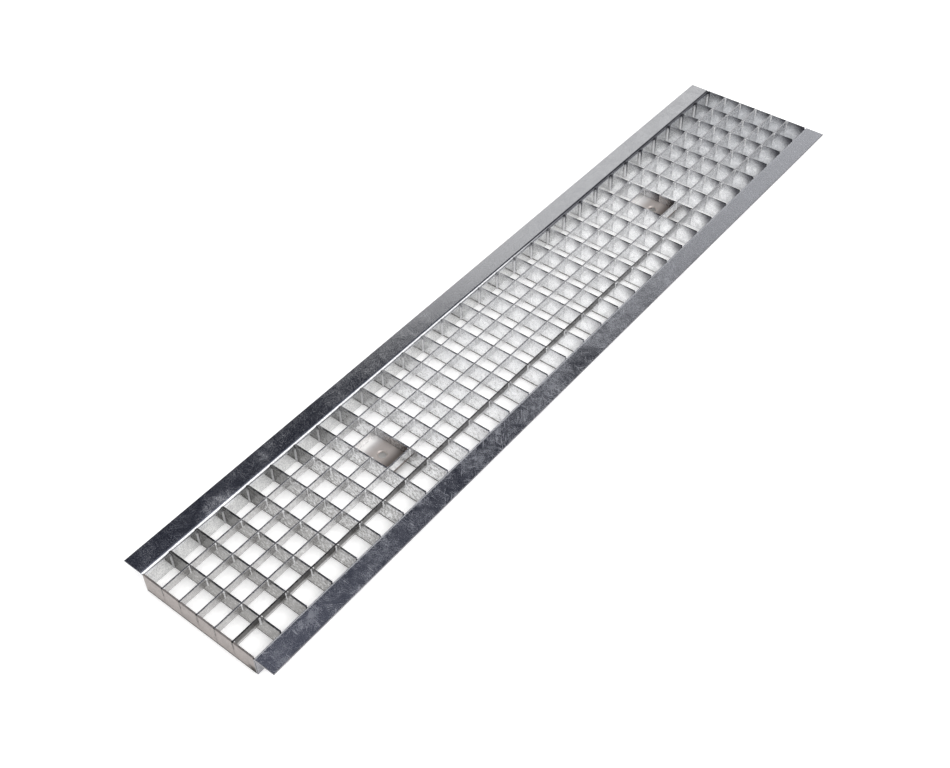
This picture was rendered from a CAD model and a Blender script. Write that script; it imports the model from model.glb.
import math
import random

import bmesh
import bpy
from mathutils import Matrix, Vector, noise


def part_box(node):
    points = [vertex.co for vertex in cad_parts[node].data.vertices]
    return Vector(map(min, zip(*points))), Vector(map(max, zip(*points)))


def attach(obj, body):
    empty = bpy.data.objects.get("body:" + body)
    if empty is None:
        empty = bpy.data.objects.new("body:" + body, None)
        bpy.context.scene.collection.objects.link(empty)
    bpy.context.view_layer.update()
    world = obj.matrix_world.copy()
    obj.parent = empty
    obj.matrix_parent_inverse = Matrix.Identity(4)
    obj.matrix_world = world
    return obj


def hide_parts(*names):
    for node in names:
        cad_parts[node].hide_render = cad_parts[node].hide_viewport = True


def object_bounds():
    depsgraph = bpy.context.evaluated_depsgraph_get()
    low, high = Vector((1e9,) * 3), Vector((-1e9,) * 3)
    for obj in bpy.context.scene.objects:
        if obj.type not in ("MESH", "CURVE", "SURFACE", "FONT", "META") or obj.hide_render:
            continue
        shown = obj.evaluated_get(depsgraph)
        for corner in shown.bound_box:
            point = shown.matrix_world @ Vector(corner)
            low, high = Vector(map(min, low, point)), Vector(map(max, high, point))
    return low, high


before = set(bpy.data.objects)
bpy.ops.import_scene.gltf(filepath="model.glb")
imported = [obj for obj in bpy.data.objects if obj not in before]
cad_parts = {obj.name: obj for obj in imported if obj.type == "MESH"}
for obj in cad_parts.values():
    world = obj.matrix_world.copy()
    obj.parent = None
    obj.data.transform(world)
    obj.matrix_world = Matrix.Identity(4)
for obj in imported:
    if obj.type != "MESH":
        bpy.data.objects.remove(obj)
cadLow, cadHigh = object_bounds()

mm = 0.001
barCount = 31
barNodes = [f"bearing_bar_{i:02d}" for i in range(1, barCount + 1)]
fullRods = {1: "cross_rod_1", 2: "cross_rod_2", 4: "cross_rod_4", 5: "cross_rod_5"}
middleRods = ["middle_rod_near", "middle_rod_centre", "middle_rod_far"]
print("grate box", [round(v, 4) for v in cadLow], [round(v, 4) for v in cadHigh])


# mesh helpers

def finishMesh(name, bm, finish, nodes=(), sharpAngle=38):
    bmesh.ops.recalc_face_normals(bm, faces=bm.faces)
    mesh = bpy.data.meshes.new(name)
    bm.to_mesh(mesh)
    bm.free()
    mesh.shade_smooth()
    mesh.set_sharp_from_angle(angle=math.radians(sharpAngle))
    mesh.materials.append(finish)
    piece = bpy.data.objects.new(name, mesh)
    bpy.context.scene.collection.objects.link(piece)
    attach(piece, "root")
    if nodes:
        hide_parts(*nodes)
    return piece


def roundedOutline(corners, guard=0.0):  # corners: (x, z, radius, steps), in order round the outline
    points = []
    count = len(corners)
    for i, (x, z, radius, steps) in enumerate(corners):
        here = Vector((x, z))
        back = (Vector(corners[i - 1][:2]) - here).normalized()
        ahead = (Vector(corners[(i + 1) % count][:2]) - here).normalized()
        half = back.angle(ahead) / 2
        reach = radius / math.tan(half)
        centre = here + (back + ahead).normalized() * (radius / math.sin(half))
        first, last = here + back * reach - centre, here + ahead * reach - centre
        if guard:  # an extra point on each side keeps broad flats flat under smooth shading
            points.append(here + back * (reach + guard))
        for s in range(steps + 1):
            points.append(centre + first.slerp(last, s / steps) * radius)
        if guard:
            points.append(here + ahead * (reach + guard))
    return points


def insetOutline(points, depth):  # moves every point of a counter-clockwise outline inwards
    moved = []
    for i, p in enumerate(points):
        along = (points[(i + 1) % len(points)] - points[i - 1]).normalized()
        moved.append(p + Vector((-along.y, along.x)) * depth)
    return moved


def addRings(bm, rings):  # rings of equal length, joined one after another and capped
    rows = [[bm.verts.new(p) for p in ring] for ring in rings]
    for low, high in zip(rows, rows[1:]):
        for i in range(len(low)):
            j = (i + 1) % len(low)
            bm.faces.new((low[i], low[j], high[j], high[i]))
    bm.faces.new(rows[0][::-1])
    bm.faces.new(rows[-1])


def plateRings(outline, y0, y1, edge):  # an outline in X and Z, given a thickness along Y and eased edges
    inner = insetOutline(outline, edge)
    return [[Vector((p.x, y, p.y)) for p in ring]
            for ring, y in ((inner, y0), (outline, y0 + edge), (outline, y1 - edge), (inner, y1))]


# node helpers

def newNode(tree, kind, **settings):
    made = tree.nodes.new(kind)
    for key, value in settings.items():
        setattr(made, key, value)
    return made


def link(tree, source, target):
    tree.links.new(source, target)


def mapped(tree, coords, scale, turn=0.0):  # turned first, then stretched
    mapping = newNode(tree, "ShaderNodeMapping", vector_type="TEXTURE")
    mapping.inputs["Scale"].default_value = tuple(1 / s for s in scale)
    mapping.inputs["Rotation"].default_value = (0, 0, math.radians(turn))
    link(tree, coords, mapping.inputs["Vector"])
    return mapping.outputs["Vector"]


def cloud(tree, vector, scale, detail, rough, twist=0.0):
    made = newNode(tree, "ShaderNodeTexNoise")
    for key, value in (("Scale", scale), ("Detail", detail), ("Roughness", rough), ("Distortion", twist)):
        made.inputs[key].default_value = value
    link(tree, vector, made.inputs["Vector"])
    return made.outputs["Fac"]


def ranged(tree, value, low, high, toLow=0.0, toHigh=1.0):
    made = newNode(tree, "ShaderNodeMapRange", interpolation_type="SMOOTHSTEP")
    for key, number in (("From Min", low), ("From Max", high), ("To Min", toLow), ("To Max", toHigh)):
        made.inputs[key].default_value = number
    link(tree, value, made.inputs["Value"])
    return made.outputs["Result"]


def sums(tree, operation, a, b, clamp=False):
    made = newNode(tree, "ShaderNodeMath", operation=operation, use_clamp=clamp)
    for socket, value in zip(made.inputs, (a, b)):
        if isinstance(value, (int, float)):
            socket.default_value = value
        else:
            link(tree, value, socket)
    return made.outputs[0]


def measured(tree, coords, axis):  # how far along a direction a point lies
    made = newNode(tree, "ShaderNodeVectorMath", operation="DOT_PRODUCT")
    link(tree, coords, made.inputs[0])
    made.inputs[1].default_value = axis
    return made.outputs["Value"]


def blendColors(tree, factor, a, b):
    made = newNode(tree, "ShaderNodeMix", data_type="RGBA")
    link(tree, factor, made.inputs["Factor"])
    for socket, value in ((made.inputs[6], a), (made.inputs[7], b)):
        if isinstance(value, tuple):
            socket.default_value = (*value, 1)
        else:
            link(tree, value, socket)
    return made.outputs[2]


def multiplied(tree, color, tint):
    made = newNode(tree, "ShaderNodeMix", data_type="RGBA", blend_type="MULTIPLY")
    made.inputs["Factor"].default_value = 1
    link(tree, color, made.inputs[6])
    made.inputs[7].default_value = (*tint, 1)
    return made.outputs[2]


def newFinish(name):
    finish = bpy.data.materials.new(name)
    finish.use_nodes = True
    tree = finish.node_tree
    shader = tree.nodes["Principled BSDF"]
    coords = newNode(tree, "ShaderNodeTexCoord").outputs["Object"]
    return finish, tree, shader, coords


def addBump(tree, shader, height, strength, distance):
    bump = newNode(tree, "ShaderNodeBump")
    bump.inputs["Strength"].default_value = strength
    bump.inputs["Distance"].default_value = distance
    link(tree, height, bump.inputs["Height"])
    link(tree, bump.outputs["Normal"], shader.inputs["Normal"])


# zinc coats: clouds of dull and bright zinc, crystal grain, hair scratches and a fine orange peel

across, alongGrate, upward = (1, 0, 0), (0, 1, 0), (0, 0, 1)
coatForm = {"cloud": (5, 0.6, 0.9), "blot": (6, 0.74, 0.35), "grain": (3, 0.7),  # detail, roughness, twist
            "grainRange": (0.36, 0.64), "hair": (2, 0.55), "hairLength": 11,
            "hairPatch": (2, 0.5), "hairPatchScale": 45, "hairPatchStep": 9, "hairPatchRange": (0.46, 0.6),
            "patchRim": (1.0, 0.2), "patchFloor": 0.1,
            "grainHeight": 0.5, "blotHeight": 0.9, "bumpDepth": 0.3 * mm}


def patchMask(tree, coords, centre, radii):  # 1 in the middle of a soft oval, 0 outside it
    offset = newNode(tree, "ShaderNodeVectorMath", operation="SUBTRACT")
    link(tree, coords, offset.inputs[0])
    offset.inputs[1].default_value = centre
    scaled = newNode(tree, "ShaderNodeVectorMath", operation="DIVIDE")
    link(tree, offset.outputs[0], scaled.inputs[0])
    scaled.inputs[1].default_value = radii
    reach = newNode(tree, "ShaderNodeVectorMath", operation="LENGTH")
    link(tree, scaled.outputs[0], reach.inputs[0])
    return ranged(tree, reach.outputs["Value"], *coatForm["patchRim"])


def hairScratches(tree, coords, look):  # thin bright strands in a few directions, each only in places
    hairs = None
    for number, (turn, pitch) in enumerate(look["hairs"]):
        stretch = (pitch, pitch / coatForm["hairLength"], pitch)
        strand = cloud(tree, mapped(tree, coords, stretch, turn), 1.0, *coatForm["hair"])
        strand = ranged(tree, strand, *look["hairRange"])
        patchScale = coatForm["hairPatchScale"] + coatForm["hairPatchStep"] * number
        patch = cloud(tree, mapped(tree, coords, (patchScale,) * 3, turn), 1.0, *coatForm["hairPatch"])
        strand = sums(tree, "MULTIPLY", strand, ranged(tree, patch, *coatForm["hairPatchRange"]))
        hairs = strand if hairs is None else sums(tree, "MAXIMUM", hairs, strand)
    return hairs


def tintedBand(tree, coords, color, blots, band):
    axis, start, full, wobble, tint, *fades = band
    drift = sums(tree, "MULTIPLY", sums(tree, "SUBTRACT", blots, 0.5), wobble)
    share = ranged(tree, sums(tree, "ADD", measured(tree, coords, axis), drift), start, full)
    for fadeAxis, fadeStart, fadeFull in fades:
        fade = ranged(tree, measured(tree, coords, fadeAxis), fadeStart, fadeFull)
        share = sums(tree, "MULTIPLY", share, fade)
    return blendColors(tree, share, color, multiplied(tree, color, tint))


def dulledCorners(tree, coords, color, corners):  # duller towards the upper right corner of every mesh cell
    x = measured(tree, coords, across)
    turns = sums(tree, "DIVIDE", sums(tree, "SUBTRACT", x, corners["firstRod"]), corners["pitch"])
    inCell = sums(tree, "MULTIPLY", sums(tree, "FRACT", turns, 0.0), corners["pitch"])
    inCell = sums(tree, "MAXIMUM", inCell, sums(tree, "SUBTRACT", x, corners["lastRod"]))
    height = sums(tree, "MULTIPLY", measured(tree, coords, upward), corners["slope"])
    dull = ranged(tree, sums(tree, "ADD", inCell, height), corners["start"], corners["full"])
    for ends in (corners["fade"], corners["endFace"]):
        dull = sums(tree, "MULTIPLY", dull, ranged(tree, measured(tree, coords, alongGrate), *ends))
    return blendColors(tree, dull, color, multiplied(tree, color, corners["tint"]))


# A look's bands each give a direction, where the tint starts, where it is full, how far it wanders, the tint,
# and where it fades in. Its patches each give a centre, their reach each way, and how much brighter they are.
def zincCoat(name, look):
    finish, tree, shader, coords = newFinish(name)
    clouds = ranged(tree, cloud(tree, coords, look["cloudScale"], *coatForm["cloud"]), *look["cloudRange"])
    blots = ranged(tree, cloud(tree, coords, look["blotScale"], *coatForm["blot"]), *look["blotRange"])
    grain = ranged(tree, cloud(tree, coords, look["grainScale"], *coatForm["grain"]), *coatForm["grainRange"])
    hairs = hairScratches(tree, coords, look)
    tone = look["base"]
    parts = {"cloudShare": clouds, "blotShare": blots, "grainShare": grain, "hairShare": hairs}
    for share, part in parts.items():
        tone = sums(tree, "ADD", sums(tree, "MULTIPLY", part, look[share]), tone)
    smooth, rough = look["rough"]
    roughness = sums(tree, "ADD", sums(tree, "MULTIPLY", tone, rough - smooth), smooth)
    for centre, radii, strength in look["patches"]:
        mottled = sums(tree, "ADD", blots, coatForm["patchFloor"])
        patch = sums(tree, "MULTIPLY", patchMask(tree, coords, centre, radii), mottled)
        tone = sums(tree, "ADD", tone, sums(tree, "MULTIPLY", patch, strength))
        roughness = sums(tree, "ADD", roughness, sums(tree, "MULTIPLY", patch, strength * look["patchRough"]))
    tone = sums(tree, "MULTIPLY", tone, 1.0, clamp=True)
    color = blendColors(tree, tone, look["darkColor"], look["lightColor"])
    color = blendColors(tree, grain, multiplied(tree, color, look["speck"]), color)
    for band in look["bands"]:
        color = tintedBand(tree, coords, color, blots, band)
    if "meshCorners" in look:
        color = dulledCorners(tree, coords, color, look["meshCorners"])
    link(tree, color, shader.inputs["Base Color"])
    shader.inputs["Metallic"].default_value = look["metal"]
    link(tree, roughness, shader.inputs["Roughness"])
    height = sums(tree, "ADD", sums(tree, "MULTIPLY", grain, coatForm["grainHeight"]),
                  sums(tree, "MULTIPLY", blots, coatForm["blotHeight"]))
    addBump(tree, shader, height, look["bump"], coatForm["bumpDepth"])
    return finish


# side angles: folded sheet with a rounded heel

webOutside = (across, 73 * mm, 73.6 * mm, 0.3 * mm, (0.5, 0.49, 0.49), (upward, 23 * mm, 22.5 * mm))
cutEdge = (across, 97.3 * mm, 97.8 * mm, 0.2 * mm, (0.34, 0.33, 0.33))
nearEnd = (alongGrate, -499.4 * mm, -499.8 * mm, 0.1 * mm, (0.4, 0.39, 0.39))
warmWeb = (upward, 21 * mm, 19 * mm, 1 * mm, (0.99, 0.985, 0.955))
farHeel = (across, -74.9 * mm, -74.3 * mm, 0.2 * mm, (0.3, 0.3, 0.32), (upward, 22.8 * mm, 23.4 * mm),
           (alongGrate, 20 * mm, 160 * mm))
rightSheetLook = {
    "darkColor": (0.47, 0.48, 0.51), "lightColor": (0.78, 0.79, 0.83), "metal": 1.0, "rough": (0.13, 0.4),
    "base": -0.36, "cloudScale": 58, "cloudRange": (0.26, 0.78), "cloudShare": 0.6,
    "blotScale": 150, "blotRange": (0.14, 0.88), "blotShare": 0.62,
    "grainScale": 760, "grainShare": 0.36, "speck": (0.85, 0.85, 0.86),
    "hairs": ((38, 900), (-42, 760), (86, 830)), "hairRange": (0.57, 0.67), "hairShare": 0.6, "bump": 0.07,
    "bands": (webOutside, cutEdge, nearEnd), "patchRough": 0.16,
    "patches": (((0.083, -0.442, 0.025), (0.012, 0.026, 0.01), 0.8),
                ((0.087, -0.02, 0.025), (0.012, 0.04, 0.01), -0.7),
                ((0.083, 0.045, 0.025), (0.01, 0.02, 0.01), 0.3)),
}
leftSheetLook = dict(
    rightSheetLook, darkColor=(0.6, 0.605, 0.62), lightColor=(0.93, 0.935, 0.95), rough=(0.07, 0.285),
    base=-0.26, cloudScale=40, cloudRange=(0.34, 0.78), cloudShare=0.34, blotShare=0.42,
    speck=(0.83, 0.83, 0.84), hairShare=0.2, bump=0.04, bands=(warmWeb, farHeel),
    patches=(((-0.077, -0.4, 0.025), (0.014, 0.034, 0.01), 1.2),
             ((-0.086, -0.33, 0.025), (0.012, 0.03, 0.01), 0.4)))
angleForm = {"thickness": 2 * mm, "foldRadius": 3.5 * mm, "edge": 0.3 * mm, "guard": 0.06 * mm,
             "stations": 260, "sag": 0.1 * mm, "dropWave": 9, "pullWave": 14}


def uneven(y, wave, side, lane):  # from 0 to 1, drifting along the grate in its own way on each side
    return 0.5 + 0.5 * noise.noise(Vector((y * wave, side * 4.0, lane)))


def sideAngle(name, node, side, finish):
    low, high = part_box(node)
    webX = min(abs(low.x), abs(high.x))
    reach = max(abs(low.x), abs(high.x)) - webX
    t, r, e, guard = (angleForm[k] for k in ("thickness", "foldRadius", "edge", "guard"))
    top = high.z
    section = roundedOutline([
        (0, 0, e, 2), (t, 0, e, 2), (t, top - t, r - t, 5), (reach, top - t, e, 2), (reach, top, e, 3),
        (0, top, r, 9)], guard=guard)
    inner = insetOutline(section, e)
    steps = angleForm["stations"]
    rings = [(section, low.y + e + (high.y - low.y - 2 * e) * s / steps) for s in range(steps + 1)]
    rings.insert(1, (section, low.y + e + guard))
    rings.insert(-1, (section, high.y - e - guard))
    rings.insert(0, (inner, low.y))
    rings.append((inner, high.y))
    placed = []
    for outline, y in rings:
        drop = angleForm["sag"] * uneven(y, angleForm["dropWave"], side, 0)
        pull = angleForm["sag"] * uneven(y, angleForm["pullWave"], side, 7)
        placed.append([Vector((side * (webX + p.x - pull * p.x / reach), y,
                               p.y - (drop * p.x / reach if p.y > t else 0))) for p in outline])
    bm = bmesh.new()
    addRings(bm, placed)
    return finishMesh(name, bm, finish, [node])


sideAngle("sideAngleLeft", "angle_left", -1, zincCoat("zincSheetLeft", leftSheetLook))
sideAngle("sideAngleRight", "angle_right", 1, zincCoat("zincSheetRight", rightSheetLook))
print("side angles made")

# where the bars and rods are

rodBoxes = {k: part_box(n) for k, n in fullRods.items()}
middleLow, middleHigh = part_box(middleRods[0])
rodBoxes[3] = (middleLow, middleHigh)
rodXs = {k: (lo.x + hi.x) / 2 for k, (lo, hi) in rodBoxes.items()}
rodThick = middleHigh.x - middleLow.x
rodFloor = middleLow.z
barBoxes = [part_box(n) for n in barNodes]
barYs = [(lo.y + hi.y) / 2 for lo, hi in barBoxes]
barThick = barBoxes[0][1].y - barBoxes[0][0].y

# bearing bars: upright flats, slotted from above for the rods

nearTop = (upward, 24.55 * mm, 24.8 * mm, 0.05 * mm, (0.78, 0.78, 0.79), (alongGrate, 160 * mm, -60 * mm))
dullTop = (upward, 7 * mm, 25 * mm, 9 * mm, (0.8, 0.8, 0.81))
footLine = (upward, 2.3 * mm, 1.7 * mm, 0.5 * mm, (0.28, 0.27, 0.26), (alongGrate, 280 * mm, 60 * mm))
besideWeb = ((1, 0, -0.62), -59 * mm, -60.5 * mm, 1 * mm, (0.42, 0.42, 0.42),
             (alongGrate, -20 * mm, -330 * mm))
nearRows = (alongGrate, -130 * mm, -520 * mm, 420 * mm, (0.36, 0.35, 0.335))
farRows = (alongGrate, 180 * mm, 540 * mm, 160 * mm, (0.56, 0.57, 0.59))
meshCorners = {"firstRod": rodXs[1], "lastRod": rodXs[5], "pitch": rodXs[2] - rodXs[1], "slope": 0.6,
               "start": 17 * mm, "full": 38 * mm, "tint": (0.2, 0.2, 0.215), "fade": (-140 * mm, 260 * mm),
               "endFace": (cadHigh.y - 0.6 * mm, cadHigh.y - 1.4 * mm)}
barLook = dict(
    rightSheetLook, darkColor=(0.46, 0.46, 0.465), lightColor=(0.93, 0.935, 0.94), rough=(0.1, 0.28),
    base=0.2, cloudScale=80, cloudRange=(0.3, 0.74), blotScale=300, blotRange=(0.28, 0.76), blotShare=0.48,
    grainScale=900, grainShare=0.26, hairShare=0.34, bump=0.12, patches=(),
    bands=(nearTop, dullTop, footLine, besideWeb, nearRows, farRows))
endBarFoot = (upward, 2.6 * mm, 1.5 * mm, 1.2 * mm, (0.14, 0.12, 0.11))
endBarSmear = (across, 60 * mm, 68 * mm, 9 * mm, (0.12, 0.11, 0.1), (upward, 12 * mm, 5 * mm))
endBarLook = dict(
    barLook, darkColor=(0.18, 0.16, 0.152), lightColor=(0.44, 0.402, 0.384), rough=(0.36, 0.6), metal=0.9,
    bump=0.06, bands=(endBarFoot, endBarSmear),
    patches=tuple(((x, cadLow.y, 0.011), (0.0016, 0.004, 0.012), -0.9) for x in sorted(rodXs.values())))
barForm = {"edge": 0.2 * mm, "slotPlay": 0.14 * mm, "slotRelief": 1 * mm, "reliefSpread": (0.6, 1.2),
           "lean": 0.18 * mm, "topDrop": 0.1 * mm}
spread = random.Random(31)


def bearingBar(index, low, high, finish):
    e = barForm["edge"]
    top = high.z - barForm["topDrop"]
    corners = [(low.x, 0, e, 2), (high.x, 0, e, 2), (high.x, top, e, 2)]
    for k in sorted(rodXs, reverse=True):
        half = rodThick / 2 + barForm["slotPlay"]
        floor = rodFloor - barForm["slotRelief"] * spread.uniform(*barForm["reliefSpread"])
        corners += [(rodXs[k] + half, top, e, 2), (rodXs[k] + half, floor, e, 2),
                    (rodXs[k] - half, floor, e, 2), (rodXs[k] - half, top, e, 2)]
    corners.append((low.x, top, e, 2))
    lean = spread.uniform(-1, 1) * barForm["lean"] if 0 < index < barCount - 1 else 0
    rings = plateRings(roundedOutline(corners), low.y, high.y, e)
    for ring in rings:
        for p in ring:
            p.y += lean * (p.z / top - 0.5) * 2
    bm = bmesh.new()
    addRings(bm, rings)
    return finishMesh(f"bearingBar{index + 1:02d}", bm, finish, [barNodes[index]])


barZinc = zincCoat("zincBars", dict(barLook, meshCorners=meshCorners))
endBarZinc = zincCoat("zincEndBar", endBarLook)
for index, (low, high) in enumerate(barBoxes):
    bearingBar(index, low, high, barZinc if index else endBarZinc)
print("bearing bars made")

# cross rods: flats on edge, a little wavy between the bars

rodTop = (upward, 24.55 * mm, 24.8 * mm, 0.05 * mm, (0.8, 0.8, 0.81))
rodEnds = (alongGrate, -498.9 * mm, -499.3 * mm, 0.1 * mm, (0.2, 0.18, 0.17))
nearLengths = (alongGrate, -130 * mm, -520 * mm, 300 * mm, (0.66, 0.65, 0.64))
stainedSide = (upward, 17.6 * mm, 19.8 * mm, 1.6 * mm, (0.3, 0.295, 0.29), (alongGrate, 360 * mm, 40 * mm))
rodLook = dict(barLook, darkColor=(0.72, 0.72, 0.72), lightColor=(0.9, 0.9, 0.905), bump=0.06,
               bands=(rodTop, rodEnds, nearLengths))
dullRodLook = dict(rodLook, rough=(0.16, 0.32), bands=(*rodLook["bands"], stainedSide))
rodForm = {"edge": 0.1 * mm, "topEdge": 0.4 * mm, "guard": 0.03 * mm, "step": 5 * mm, "wave": 0.12 * mm,
           "waveScale": 22, "stainedRod": 5}


def crossRod(name, node, finish):
    low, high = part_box(node)
    e, ease = rodForm["edge"], rodForm["topEdge"]
    top = high.z - barForm["topDrop"]
    section = roundedOutline([(low.x, low.z, e, 2), (high.x, low.z, e, 2),
                              (high.x, top, ease, 4), (low.x, top, ease, 4)], guard=rodForm["guard"])
    steps = max(2, round((high.y - low.y) / rodForm["step"]))
    rings = [(insetOutline(section, e), low.y)]
    rings += [(section, low.y + e + (high.y - low.y - 2 * e) * s / steps) for s in range(steps + 1)]
    rings.append((insetOutline(section, e), high.y))
    placed = []
    for outline, y in rings:
        shift = rodForm["wave"] * noise.noise(Vector((y * rodForm["waveScale"], low.x * 50, 3)))
        placed.append([Vector((p.x + shift, y, p.y)) for p in outline])
    bm = bmesh.new()
    addRings(bm, placed)
    return finishMesh(name, bm, finish, [node])


rodZinc = zincCoat("zincRods", rodLook)
dullRodZinc = zincCoat("zincDullRod", dullRodLook)
for k, node in fullRods.items():
    crossRod(f"crossRod{k}", node, dullRodZinc if k == rodForm["stainedRod"] else rodZinc)
for node, part in zip(middleRods, ("Near", "Centre", "Far")):
    crossRod("middleRod" + part, node, rodZinc)
print("cross rods made")

# zinc that ran into the corners and froze there, at every crossing and down the bar ends

dropLook = dict(rodLook, darkColor=(0.84, 0.84, 0.84), lightColor=(0.94, 0.94, 0.94), rough=(0.2, 0.34),
                bump=0.1, metal=0.2, bands=())
nearBeads = (alongGrate, -40 * mm, -300 * mm, 60 * mm, (0.62, 0.62, 0.62))
beadLook = dict(dropLook, darkColor=(0.6, 0.6, 0.61), lightColor=(0.8, 0.8, 0.81), metal=0.8,
                bands=(nearBeads,))
runForm = {"radius": (0.8 * mm, 1.3 * mm), "bite": 0.2 * mm, "steps": 6, "arc": 4, "tail": 1.6 * mm,
           "foot": 0.25, "uneven": 0.25, "unevenScale": (300, 300, 400), "topGap": 0.1 * mm,
           "footGap": 0.3 * mm, "heelGap": 0.6 * mm, "rodCheck": 2 * mm}
dropZinc = zincCoat("zincDrops", dropLook)
beadZinc = zincCoat("zincBeads", beadLook)
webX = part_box("angle_right")[0].x
topZ = cadHigh.z - barForm["topDrop"]
heelZ = cadHigh.z - angleForm["foldRadius"] - runForm["heelGap"]


def cornerRing(corner, sx, sy, z, radius, form, hollow):  # a quarter round in a corner, let into both faces
    x, y = corner
    bite = form["bite"]
    ring = [Vector((x - sx * bite, y - sy * bite, z)), Vector((x - sx * bite, y + sy * radius, z))]
    for a in range(form["arc"] + 1):
        t = math.pi / 2 * a / form["arc"]
        u, v = (1 - math.cos(t), 1 - math.sin(t)) if hollow else (math.sin(t), math.cos(t))
        ring.append(Vector((x + sx * radius * u, y + sy * radius * v, z)))
    ring.append(Vector((x + sx * radius, y - sy * bite, z)))
    return ring


def zincRun(bm, corner, sx, sy, zLow, zHigh, radius):
    rings = []
    steps = runForm["steps"]
    scaleX, scaleY, scaleZ = runForm["unevenScale"]
    for s in range(steps + 1):
        z = zLow + (zHigh - zLow) * s / steps
        size = 1.0 if s else runForm["foot"]
        place = Vector((corner.x * scaleX, corner.y * scaleY, z * scaleZ))
        size *= 1 + runForm["uneven"] * noise.noise(place)
        rings.append(cornerRing(corner, sx, sy, z, radius * size, runForm, True))
    addRings(bm, rings)


def middleRodAt(y):  # whether the middle rod passes through or ends at this place along the grate
    return any(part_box(n)[0].y - mm <= y <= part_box(n)[1].y + mm for n in middleRods)


bm = bmesh.new()
for y in barYs:
    for k, x in rodXs.items():
        for sy in (-1, 1):
            faceY = y + sy * barThick / 2
            if abs(faceY) > cadHigh.y - mm or (k == 3 and not middleRodAt(faceY + sy * runForm["rodCheck"])):
                continue
            for sx in (-1, 1):
                corner = Vector((x + sx * rodThick / 2, faceY))
                radius = spread.uniform(*runForm["radius"])
                foot = rodFloor - runForm["tail"] * spread.uniform(0, 1)
                zincRun(bm, corner, sx, sy, foot, topZ - runForm["topGap"], radius)
finishMesh("crossingZinc", bm, dropZinc)

dropForm = {"radius": (0.9 * mm, 1.5 * mm), "height": 0.8, "rings": 4, "firstRing": 0.35, "spokes": 12,
            "corners": ((1, -1), (1, -1), (-1, -1), (1, 1)), "offset": 0.15 * mm,
            "sink": (0.05 * mm, 0.4 * mm)}


def zincDrop(bm, x, y, top, radius):  # low dome, frozen in the corner of a crossing
    rings, spokes = dropForm["rings"], dropForm["spokes"]
    rows = []
    for r in range(rings):
        t = math.pi / 2 * (r + dropForm["firstRing"]) / rings
        wide, z = radius * math.sin(t), top - radius * dropForm["height"] * (1 - math.cos(t))
        rows.append([bm.verts.new((x + wide * math.cos(a), y + wide * math.sin(a), z))
                     for a in (2 * math.pi * k / spokes for k in range(spokes))])
    for inner, outer in zip(rows, rows[1:]):
        for k in range(spokes):
            j = (k + 1) % spokes
            bm.faces.new((inner[k], outer[k], outer[j], inner[j]))
    bm.faces.new(rows[0])
    bm.faces.new(rows[-1][::-1])


bm = bmesh.new()
for y in barYs[1:-1]:
    for k, x in rodXs.items():
        if k == 3 and not middleRodAt(y):
            continue
        sx, sy = spread.choice(dropForm["corners"])
        radius = spread.uniform(*dropForm["radius"])
        dropX = x + sx * (rodThick / 2 + dropForm["offset"])
        dropY = y + sy * (barThick / 2 + dropForm["offset"])
        zincDrop(bm, dropX, dropY, topZ - spread.uniform(*dropForm["sink"]), radius)
finishMesh("crossingDrops", bm, dropZinc)

bm = bmesh.new()
for y in barYs[1:-1]:
    for side in (-1, 1):
        corner = Vector((side * webX, y + barThick / 2))
        zincRun(bm, corner, -side, 1, runForm["footGap"], heelZ, spread.uniform(*runForm["radius"]))
finishMesh("cornerZinc", bm, beadZinc)
print("frozen zinc made")

# weld beads up the corners of bars and webs

beadForm = {"radius": 1.7 * mm, "ripple": 0.1, "pitch": 1.7 * mm, "step": 0.45 * mm, "arc": 6,
            "bite": 0.1 * mm, "foot": 0.1 * mm, "endSize": 0.55, "endSteps": 4,
            "uneven": 0.12, "unevenScale": 260, "lane": 3.7}


def beadSize(index, side, z, fromEnd):  # share of the full radius: rippled, uneven and smaller near both ends
    ends = min(1.0, beadForm["endSize"] + (1 - beadForm["endSize"]) * fromEnd / beadForm["endSteps"])
    ripple = 1 - beadForm["ripple"] * (0.5 + 0.5 * math.cos(2 * math.pi * z / beadForm["pitch"] + index))
    swell = noise.noise(Vector((index * beadForm["lane"], side, z * beadForm["unevenScale"]))) - 0.5
    return ripple * ends * (1 + beadForm["uneven"] * swell)


def weldBeads(name, node, side):
    bm = bmesh.new()
    steps = round(heelZ / beadForm["step"])
    for index, y in enumerate(barYs):
        sy = -1 if index else 1  # on the first bar the bead is behind it
        corner = (side * webX, y + sy * barThick / 2)
        rings = []
        for s in range(steps + 1):
            z = beadForm["foot"] + (heelZ - beadForm["foot"]) * s / steps
            radius = beadForm["radius"] * beadSize(index, side, z, min(s, steps - s))
            rings.append(cornerRing(corner, -side, sy, z, radius, beadForm, False))
        addRings(bm, rings)
    return finishMesh(name, bm, beadZinc, [node])


weldBeads("weldBeadsLeft", "welds_left", -1)
weldBeads("weldBeadsRight", "welds_right", 1)
print("weld beads made")

# bolt plates with a countersunk hole

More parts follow.
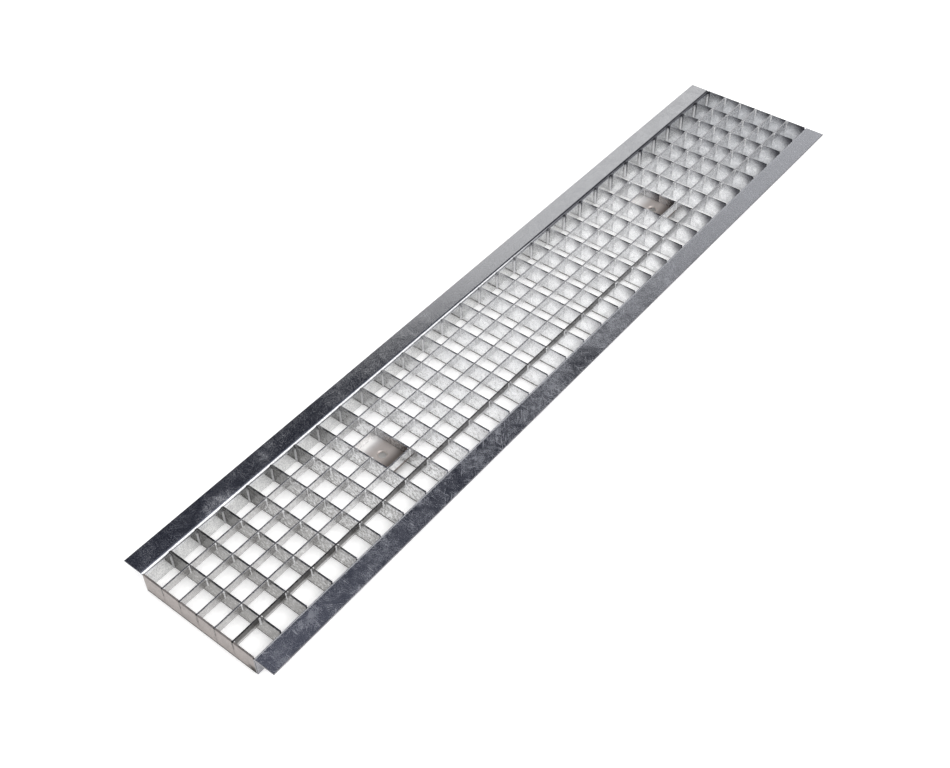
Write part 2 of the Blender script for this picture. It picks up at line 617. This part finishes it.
plateLook = {"color": (0.56, 0.50, 0.465), "paleColor": (0.72, 0.665, 0.625), "rough": (0.4, 0.54),
             "metal": 0.6, "bump": 0.1, "bumpDepth": 0.2 * mm,
             "lineScale": (1400, 60, 1400), "lines": (3, 0.6), "lineShare": 0.5,
             "smudgeScale": 90, "smudge": (5, 0.6, 0.5), "smudgeShare": 0.5, "smudgeRange": (0.3, 0.7),
             "stainFrom": (2 * mm, 15.5 * mm), "stain": (0.3, 0.28, 0.27),
             "wornFrom": (-7 * mm, -19 * mm), "worn": (0.97, 0.95, 0.93)}
plateForm = {"cornerRadius": 1.5 * mm, "edge": 0.25 * mm, "boltRadius": 4.5 * mm, "sinkRadius": 5.6 * mm,
             "sinkDepth": 1.2 * mm, "dish": 0.2 * mm, "dishReach": 1.5, "dishStart": 0.02 * mm,
             "lipReach": 1.08, "lipShare": 0.6, "seatReach": 1.06, "seatEase": 0.2 * mm,
             "spokes": 96, "sharpAngle": 30}


def plateFinish():
    finish, tree, shader, coords = newFinish("bracketSteel")
    lines = cloud(tree, mapped(tree, coords, plateLook["lineScale"]), 1.0, *plateLook["lines"])
    smudge = cloud(tree, coords, plateLook["smudgeScale"], *plateLook["smudge"])
    tone = sums(tree, "ADD", sums(tree, "MULTIPLY", lines, plateLook["lineShare"]),
                sums(tree, "MULTIPLY", smudge, plateLook["smudgeShare"]), clamp=True)
    color = blendColors(tree, tone, plateLook["color"], plateLook["paleColor"])
    place = measured(tree, coords, across)
    stained = ranged(tree, place, *plateLook["stainFrom"])
    color = blendColors(tree, stained, color, multiplied(tree, color, plateLook["stain"]))
    color = blendColors(tree, ranged(tree, place, *plateLook["wornFrom"]), color, plateLook["worn"])
    link(tree, color, shader.inputs["Base Color"])
    roughness = ranged(tree, smudge, *plateLook["smudgeRange"], *plateLook["rough"])
    link(tree, roughness, shader.inputs["Roughness"])
    shader.inputs["Metallic"].default_value = plateLook["metal"]
    addBump(tree, shader, lines, plateLook["bump"], plateLook["bumpDepth"])
    return finish


def rimPoint(angle, halfX, halfY):  # where a ray from the middle meets a rectangle with rounded corners
    r = plateForm["cornerRadius"]
    c, s = math.cos(angle), math.sin(angle)
    tiny = 1e-9
    reach = min(halfX / max(abs(c), tiny), halfY / max(abs(s), tiny))
    x, y = c * reach, s * reach
    if abs(x) > halfX - r and abs(y) > halfY - r:
        k = Vector((math.copysign(halfX - r, x), math.copysign(halfY - r, y)))
        b = Vector((c, s)).dot(k)
        reach = b + math.sqrt(max(0.0, b * b - k.length_squared + r * r))
        x, y = c * reach, s * reach
    return x, y


def boltPlate(name, node, finish):
    low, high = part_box(node)
    centre = (low + high) / 2
    halfX, halfY = (high.x - low.x) / 2, (high.y - low.y) / 2
    angles = [2 * math.pi * i / plateForm["spokes"] for i in range(plateForm["spokes"])]

    def rim(pull, z):
        points = (rimPoint(a, halfX - pull, halfY - pull) for a in angles)
        return [Vector((centre.x + x, centre.y + y, z)) for x, y in points]

    def circle(radius, z):
        return [Vector((centre.x + radius * math.cos(a), centre.y + radius * math.sin(a), z)) for a in angles]

    e, bolt, sink, dish = (plateForm[k] for k in ("edge", "boltRadius", "sinkRadius", "dish"))
    top, seat = high.z, high.z - plateForm["sinkDepth"]
    rings = [
        rim(e, low.z), rim(0, low.z + e), rim(0, top - e), rim(e, top),
        circle(sink * plateForm["dishReach"], top - plateForm["dishStart"]),
        circle(sink * plateForm["lipReach"], top - dish * plateForm["lipShare"]),
        circle(sink, top - dish),
        circle(bolt * plateForm["seatReach"], seat),
        circle(bolt, seat - plateForm["seatEase"]),
        circle(bolt, low.z + e), circle(bolt + e, low.z)]
    bm = bmesh.new()
    rows = [[bm.verts.new(p) for p in ring] for ring in rings]
    for a, b in zip(rows, rows[1:] + rows[:1]):
        for i in range(len(a)):
            j = (i + 1) % len(a)
            bm.faces.new((a[i], a[j], b[j], b[i]))
    return finishMesh(name, bm, finish, [node], sharpAngle=plateForm["sharpAngle"])


bracketSteel = plateFinish()
boltPlate("boltPlateNear", "bracket_near", bracketSteel)
boltPlate("boltPlateFar", "bracket_far", bracketSteel)
print("bolt plates made")

# pale floor that keeps the shadow

floorLook = {"size": 40, "color": (0.93, 0.925, 0.915), "lift": 0.5, "mirroredLift": 0.58,
             "underReach": 28 * mm, "underRange": (0.16, 0.42), "underSamples": 4}


def paleFloor():
    bm = bmesh.new()
    bmesh.ops.create_grid(bm, x_segments=1, y_segments=1, size=floorLook["size"] / 2)
    mesh = bpy.data.meshes.new("paleFloor")
    bm.to_mesh(mesh)
    bm.free()
    floor = bpy.data.objects.new("paleFloor", mesh)
    bpy.context.scene.collection.objects.link(floor)
    finish = bpy.data.materials.new("floorPaper")
    finish.use_nodes = True
    tree = finish.node_tree
    tree.nodes.clear()
    diffuse = newNode(tree, "ShaderNodeBsdfDiffuse")
    diffuse.inputs["Color"].default_value = (*floorLook["color"], 1)
    glow = newNode(tree, "ShaderNodeEmission")
    path = newNode(tree, "ShaderNodeLightPath")
    seen = sums(tree, "MAXIMUM", path.outputs["Is Camera Ray"], path.outputs["Is Transmission Ray"])
    mirrored = sums(tree, "MULTIPLY", path.outputs["Is Glossy Ray"], floorLook["mirroredLift"])
    lift = sums(tree, "MAXIMUM", sums(tree, "MULTIPLY", seen, floorLook["lift"]), mirrored)
    # the lift fades under what is close above the floor
    under = newNode(tree, "ShaderNodeAmbientOcclusion", samples=floorLook["underSamples"])
    under.inputs["Distance"].default_value = floorLook["underReach"]
    lift = sums(tree, "MULTIPLY", lift, ranged(tree, under.outputs["AO"], *floorLook["underRange"]))
    link(tree, lift, glow.inputs["Strength"])
    both = newNode(tree, "ShaderNodeAddShader")
    link(tree, diffuse.outputs[0], both.inputs[0])
    link(tree, glow.outputs[0], both.inputs[1])
    link(tree, both.outputs[0], newNode(tree, "ShaderNodeOutputMaterial").inputs["Surface"])
    mesh.materials.append(finish)


paleFloor()
print("floor laid")

# light: a wide key from the right, a bright sweep low down and a dim ceiling in the reflections

studio = {"keyAngle": 70, "keyStrength": 2.5, "keyHeight": 60, "keyTurn": 92, "fill": (0.30, 0.302, 0.31),
          "sweep": (0.77, 0.77, 0.775), "ceiling": (0.036, 0.039, 0.054),
          "sweepTop": 36.6, "ceilingFrom": 38.3, "sweepLean": 0.13,
          "overhead": (0.19, 0.20, 0.25), "overheadFrom": 50, "overheadFull": 60,
          "boxHeight": 48, "boxTurn": 70, "boxSpread": 28, "boxSoftness": 4, "boxGlow": 1.8}


def aimed(height, turn):  # direction from a height and a turn away from +Y, in degrees
    lift, swing = math.radians(height), math.radians(turn)
    return Vector((math.sin(swing) * math.cos(lift), math.cos(swing) * math.cos(lift), math.sin(lift)))


def lightStudio():
    key = bpy.data.lights.new("keyLight", "SUN")
    key.energy = studio["keyStrength"]
    key.angle = math.radians(studio["keyAngle"])
    lamp = bpy.data.objects.new("keyLight", key)
    lamp.visible_glossy = False  # metal mirrors the studio instead
    lamp.rotation_mode = "QUATERNION"
    lamp.rotation_quaternion = aimed(studio["keyHeight"], studio["keyTurn"]).to_track_quat("Z", "Y")
    bpy.context.scene.collection.objects.link(lamp)

    world = bpy.data.worlds.new("studio")
    bpy.context.scene.world = world
    world.use_nodes = True
    tree = world.node_tree
    tree.nodes.clear()
    direction = newNode(tree, "ShaderNodeTexCoord").outputs["Generated"]
    split = newNode(tree, "ShaderNodeSeparateXYZ")
    link(tree, direction, split.inputs[0])
    low, high = (math.sin(math.radians(studio[k])) for k in ("sweepTop", "ceilingFrom"))
    above = ranged(tree, measured(tree, direction, (studio["sweepLean"], 0, 1)), low, high)
    mirrored = blendColors(tree, above, studio["sweep"], studio["ceiling"])
    low, high = (math.sin(math.radians(studio[k])) for k in ("overheadFrom", "overheadFull"))
    mirrored = blendColors(tree, ranged(tree, split.outputs["Z"], low, high), mirrored, studio["overhead"])
    facing = newNode(tree, "ShaderNodeVectorMath", operation="DOT_PRODUCT")
    link(tree, direction, facing.inputs[0])
    facing.inputs[1].default_value = aimed(studio["boxHeight"], studio["boxTurn"])
    soft = studio["boxSoftness"]
    rim, core = (math.cos(math.radians(studio["boxSpread"] + d)) for d in (soft, -soft))
    box = ranged(tree, facing.outputs["Value"], rim, core)
    mirrored = blendColors(tree, box, mirrored, (studio["boxGlow"],) * 3)
    path = newNode(tree, "ShaderNodeLightPath")
    shown = blendColors(tree, path.outputs["Is Glossy Ray"], studio["fill"], mirrored)
    shown = blendColors(tree, path.outputs["Is Camera Ray"], shown, (1.0, 1.0, 1.0))
    back = newNode(tree, "ShaderNodeBackground")
    link(tree, shown, back.inputs["Color"])
    link(tree, back.outputs[0], newNode(tree, "ShaderNodeOutputWorld").inputs["Surface"])


lightStudio()
bpy.context.scene.view_settings.view_transform = "Standard"
print("light set")

# camera at the photograph's place, fitted to the crossings of bars and rods

cameraForm = {"place": (0.5994, -0.8221, 0.9594), "aim": (0.0196, -0.1235, 0.025), "roll": 1.74, "lens": 47.1,
              "sensor": 36, "clip": (0.05, 100)}


def placeCamera():
    data = bpy.data.cameras.new("photoCamera")
    data.sensor_width = cameraForm["sensor"]
    data.lens = cameraForm["lens"]
    data.clip_start, data.clip_end = cameraForm["clip"]
    camera = bpy.data.objects.new("photoCamera", data)
    place, aim = Vector(cameraForm["place"]), Vector(cameraForm["aim"])
    forward = (aim - place).normalized()
    level = forward.cross(Vector((0, 0, 1))).normalized()
    upright = level.cross(forward)
    roll = math.radians(cameraForm["roll"])
    right = level * math.cos(roll) - upright * math.sin(roll)
    up = upright * math.cos(roll) + level * math.sin(roll)
    turn = Matrix((right, up, -forward)).transposed()
    camera.matrix_world = Matrix.Translation(place) @ turn.to_4x4()
    bpy.context.scene.collection.objects.link(camera)
    bpy.context.scene.camera = camera


placeCamera()
print("camera placed")
